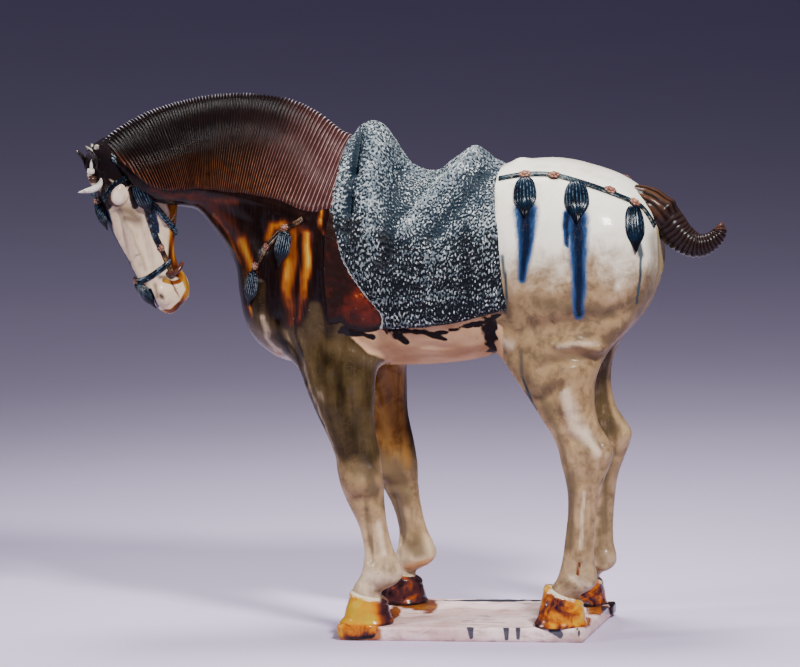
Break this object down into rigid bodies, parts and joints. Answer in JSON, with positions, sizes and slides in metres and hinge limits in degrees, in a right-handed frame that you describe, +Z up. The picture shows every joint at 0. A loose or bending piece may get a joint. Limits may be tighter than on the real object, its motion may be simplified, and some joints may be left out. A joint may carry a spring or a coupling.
{
  "type": "chinese tomb horse",
  "caption": "Standing glazed pottery horse with arched neck, combed mane, covered saddle and tasselled harness on a low slab.",
  "frame": {"origin": "centre of the base slab's underside", "axes": "+X towards the tail, -X towards the head, -Y to the horse's left side, +Z up"},
  "size_m": [0.7931, 0.2186, 0.6618],
  "materials": {
    "cream_glaze": "cream and amber lead glaze with blue runs over buff clay, worn and soil-stained",
    "brown_glaze": "dark maroon-brown glossy glaze of the mane and tail",
    "blue_glaze": "dark cobalt glaze of the saddle cover, tassels and straps with pale flecks",
    "bare_clay": "unglazed pinkish buff fired clay of the slab"
  },
  "bodies": {
    "root": {"horse": "cream_glaze"}
  },
  "joints": []
}
